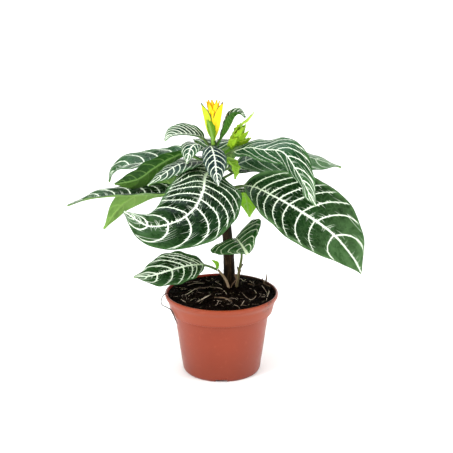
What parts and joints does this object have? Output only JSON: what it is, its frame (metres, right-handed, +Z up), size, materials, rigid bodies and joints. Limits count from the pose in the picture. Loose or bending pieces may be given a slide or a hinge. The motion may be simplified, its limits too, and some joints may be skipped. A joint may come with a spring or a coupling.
{
  "type": "potted zebra plant",
  "caption": "House plant with large dark green leaves striped cream along the veins, and an upright yellow flower spike, growing in a round tapered terracotta-coloured nursery pot.",
  "frame": {"origin": "middle of the pot's underside, on the surface that the pot stands on", "axes": "+Z up; -Y faces the picture's viewer, with the biggest leaf bending forward; +X to that viewer's right"},
  "size_m": [0.3361, 0.2347, 0.3164],
  "materials": {
    "pot_plastic": "smooth moulded terracotta-coloured plastic, satin",
    "potting_soil": "dark damp compost with bits of bark, crumbs and pale roots",
    "stem_bark": "dark brown woody stem with pale lengthwise streaks",
    "green_shoot": "thin green-brown young shoot, slightly glossy",
    "striped_leaf": "glossy dark green leaf with cream midrib and veins, paler green beneath",
    "young_leaf": "fresh yellow-green young leaf tissue",
    "flower_bracts": "bright yellow waxy bracts"
  },
  "bodies": {
    "root": {"pot": "pot_plastic", "soil": "potting_soil", "main_stem": "stem_bark", "side_shoot": "green_shoot", "basal_shoot": "green_shoot", "leaf_top_left": "striped_leaf", "leaf_top_front": "striped_leaf", "leaf_top_front_left": "striped_leaf", "leaf_front": "striped_leaf", "leaf_left_front": "striped_leaf", "leaf_left_high": "striped_leaf", "leaf_left_low": "striped_leaf", "leaf_right_front": "striped_leaf", "leaf_right_high": "striped_leaf", "leaf_right_back": "striped_leaf", "leaf_back": "striped_leaf", "leaf_back_right": "striped_leaf", "leaf_back_left": "striped_leaf", "leaf_back_low": "striped_leaf", "leaf_low_left": "striped_leaf", "leaf_low_right": "striped_leaf", "leaf_left_hanging": "striped_leaf", "leaf_left_back": "striped_leaf", "leaf_back_hanging": "striped_leaf", "leaf_top_right": "striped_leaf", "leaf_small_right": "young_leaf", "leaf_tiny_new": "young_leaf", "bract_front": "young_leaf", "bract_back": "young_leaf", "side_bud": "young_leaf", "flower_spike": "flower_bracts"}
  },
  "joints": []
}
